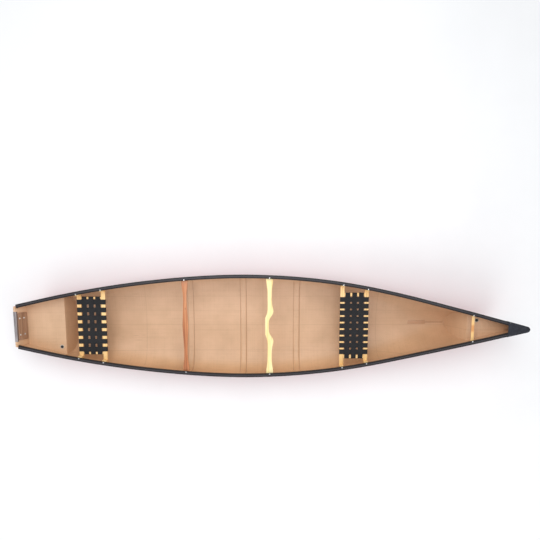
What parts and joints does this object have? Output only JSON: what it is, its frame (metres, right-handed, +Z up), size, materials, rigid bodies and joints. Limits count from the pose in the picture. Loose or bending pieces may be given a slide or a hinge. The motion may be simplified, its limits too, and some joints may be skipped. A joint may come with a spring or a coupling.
{
  "type": "canoe",
  "caption": "Square-stern canoe with vinyl gunwales, webbed seats, a thwart, a portage yoke, a motor transom and sealed air tanks.",
  "frame": {"origin": "on the ground, under the middle of the overall length and beam", "axes": "+X to the bow, +Y to port, +Z up"},
  "size_m": [5.184, 1.064, 0.6094],
  "materials": {
    "red_gelcoat": "gloss gelcoat",
    "aramid_laminate": "satin resin over cloth",
    "plywood": "sealed",
    "aluminium": "satin",
    "black_plate": "satin",
    "brown_board": "varnished",
    "white_plastic": "satin",
    "black_rubber": "matte",
    "black_vinyl": "satin",
    "deck_plate": "satin",
    "black_webbing": "woven",
    "stainless_steel": "bright",
    "cherry": "oiled",
    "ash": "varnished"
  },
  "bodies": {
    "hull": {"hull_shell": "red_gelcoat", "hull_lining": "aramid_laminate", "rib_aft": "aramid_laminate", "rib_middle": "aramid_laminate", "rib_forward": "aramid_laminate", "floor_strip": "aramid_laminate", "transom_skin": "red_gelcoat", "transom_core": "plywood", "transom_lining": "aramid_laminate", "transom_cap": "aluminium", "motor_plate": "black_plate", "motor_pad": "brown_board", "transom_bolts": "stainless_steel", "transom_nuts": "stainless_steel", "stern_tank": "aramid_laminate", "stern_plug_seat": "white_plastic", "bow_tank": "aramid_laminate", "bow_plug_seat": "white_plastic", "gunwale_port": "black_vinyl", "gunwale_starboard": "black_vinyl", "gunwale_insert_port": "aluminium", "gunwale_insert_starboard": "aluminium", "bow_deck_plate": "deck_plate", "deck_screws": "stainless_steel", "stern_seat_front_bar": "ash", "stern_seat_rear_bar": "ash", "stern_seat_rails": "ash", "stern_seat_hangers": "ash", "stern_seat_long_webbing": "black_webbing", "stern_seat_cross_webbing": "black_webbing", "stern_seat_bolts": "stainless_steel", "stern_seat_nuts": "stainless_steel", "bow_seat_front_bar": "ash", "bow_seat_rear_bar": "ash", "bow_seat_rails": "ash", "bow_seat_hangers": "ash", "bow_seat_long_webbing": "black_webbing", "bow_seat_cross_webbing": "black_webbing", "bow_seat_bolts": "stainless_steel", "bow_seat_nuts": "stainless_steel", "thwart": "cherry", "thwart_bolts": "stainless_steel", "thwart_nuts": "stainless_steel", "yoke": "ash", "yoke_bolts": "stainless_steel", "yoke_nuts": "stainless_steel", "bow_handle": "ash", "handle_bolts": "stainless_steel", "handle_nuts": "stainless_steel"},
    "stern_plug": {"stern_plug": "black_rubber"},
    "bow_plug": {"bow_plug": "black_rubber"}
  },
  "joints": [
    {"name": "stern_plug_pull", "type": "slide", "parent": "hull", "child": "stern_plug", "axis": [0, 0, 1], "range_m": [0, 0.05]},
    {"name": "bow_plug_pull", "type": "slide", "parent": "hull", "child": "bow_plug", "axis": [0, 0, 1], "range_m": [0, 0.05]}
  ]
}
